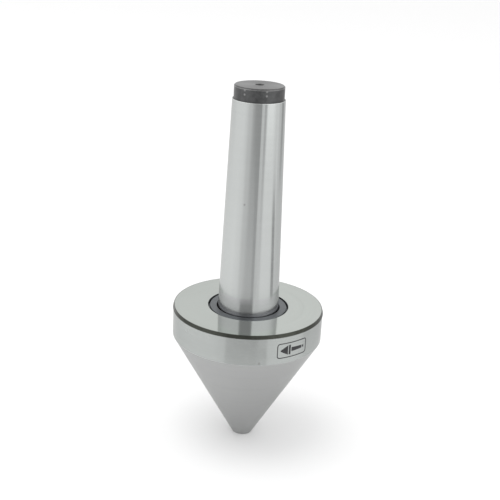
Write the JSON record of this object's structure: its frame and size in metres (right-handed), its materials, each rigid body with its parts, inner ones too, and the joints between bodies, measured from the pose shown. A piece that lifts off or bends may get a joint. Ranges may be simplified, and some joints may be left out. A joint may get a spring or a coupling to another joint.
{
  "type": "live center",
  "caption": "Revolving lathe center: a large 60-degree cone head with a ground rim turns on bearings around a Morse taper arbor.",
  "frame": {"origin": "middle of the cone's blunt tip face, which the center stands on", "axes": "+Z along the axis, from the tip towards the shank's small end; X and Y are free, as the outside is turned"},
  "size_m": [0.06, 0.06, 0.1448],
  "materials": {
    "ground_steel": "ground bright",
    "head_steel": "ground satin",
    "dark_ring_steel": "black oxide",
    "bearing_steel": "fine ground",
    "ball_steel": "polished",
    "spring_steel": "phosphated",
    "cage_brass": "machined"
  },
  "bodies": {
    "arbor": {"arbor": "ground_steel", "rear_bearing_inner_ring": "bearing_steel", "journal_circlip": "spring_steel", "thrust_shaft_washer": "bearing_steel", "front_bearing_inner_ring": "bearing_steel", "nose_circlip": "spring_steel"},
    "head": {"cone_head": "head_steel", "dust_ring": "dark_ring_steel", "head_circlip": "spring_steel", "rear_bearing_outer_ring": "bearing_steel", "thrust_housing_washer": "bearing_steel", "front_bearing_outer_ring": "bearing_steel"},
    "rear_cage": {"rear_bearing_cage": "cage_brass", "rear_bearing_ball_1": "ball_steel", "rear_bearing_ball_2": "ball_steel", "rear_bearing_ball_3": "ball_steel", "rear_bearing_ball_4": "ball_steel", "rear_bearing_ball_5": "ball_steel", "rear_bearing_ball_6": "ball_steel", "rear_bearing_ball_7": "ball_steel", "rear_bearing_ball_8": "ball_steel", "rear_bearing_ball_9": "ball_steel"},
    "thrust_cage": {"thrust_bearing_cage": "cage_brass", "thrust_bearing_ball_1": "ball_steel", "thrust_bearing_ball_2": "ball_steel", "thrust_bearing_ball_3": "ball_steel", "thrust_bearing_ball_4": "ball_steel", "thrust_bearing_ball_5": "ball_steel", "thrust_bearing_ball_6": "ball_steel", "thrust_bearing_ball_7": "ball_steel", "thrust_bearing_ball_8": "ball_steel", "thrust_bearing_ball_9": "ball_steel", "thrust_bearing_ball_10": "ball_steel"},
    "front_cage": {"front_bearing_cage": "cage_brass", "front_bearing_ball_1": "ball_steel", "front_bearing_ball_2": "ball_steel", "front_bearing_ball_3": "ball_steel", "front_bearing_ball_4": "ball_steel", "front_bearing_ball_5": "ball_steel", "front_bearing_ball_6": "ball_steel", "front_bearing_ball_7": "ball_steel"}
  },
  "joints": [
    {"name": "head_spin", "type": "hinge", "parent": "arbor", "child": "head", "pos_m": [0, 0, 0.0567], "axis": [0, 0, 1], "continuous": true},
    {"name": "rear_cage_spin", "type": "hinge", "parent": "arbor", "child": "rear_cage", "pos_m": [0, 0, 0.0473], "axis": [0, 0, 1], "continuous": true},
    {"name": "thrust_cage_spin", "type": "hinge", "parent": "arbor", "child": "thrust_cage", "pos_m": [0, 0, 0.0356], "axis": [0, 0, 1], "continuous": true},
    {"name": "front_cage_spin", "type": "hinge", "parent": "arbor", "child": "front_cage", "pos_m": [0, 0, 0.0271], "axis": [0, 0, 1], "continuous": true}
  ],
  "couplings": [
    {"joint": "rear_cage_spin", "follows": "head_spin", "ratio": 0.6013},
    {"joint": "thrust_cage_spin", "follows": "head_spin", "ratio": 0.5},
    {"joint": "front_cage_spin", "follows": "head_spin", "ratio": 0.6323}
  ]
}
